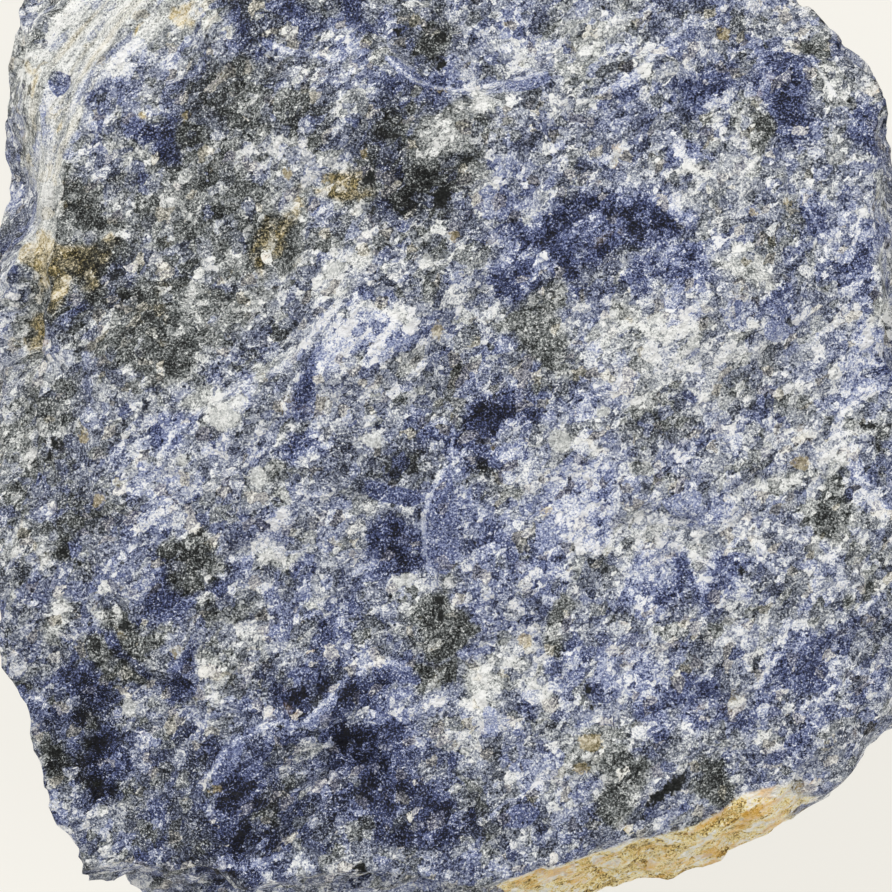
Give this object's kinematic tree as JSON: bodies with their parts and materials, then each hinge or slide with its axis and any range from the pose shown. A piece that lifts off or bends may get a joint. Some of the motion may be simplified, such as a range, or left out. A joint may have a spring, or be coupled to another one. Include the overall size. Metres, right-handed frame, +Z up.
{
  "type": "sodalite stone",
  "caption": "Rough, hand-sized block of blue sodalite rock, broken on every side, lying on a fracture face with a broad stepped fracture face up.",
  "frame": {"origin": "middle of the stone's box in plan, on the surface that the stone lies on", "axes": "+Z up, out of the broad fracture face; +Y along the longest side, which is the picture's up; +X is the picture's right"},
  "size_m": [0.122, 0.1292, 0.0656],
  "materials": {
    "sodalite_rock": "rough granular fracture, weak glassy sparkle on the grains"
  },
  "bodies": {
    "root": {"stone": "sodalite_rock"}
  },
  "joints": []
}
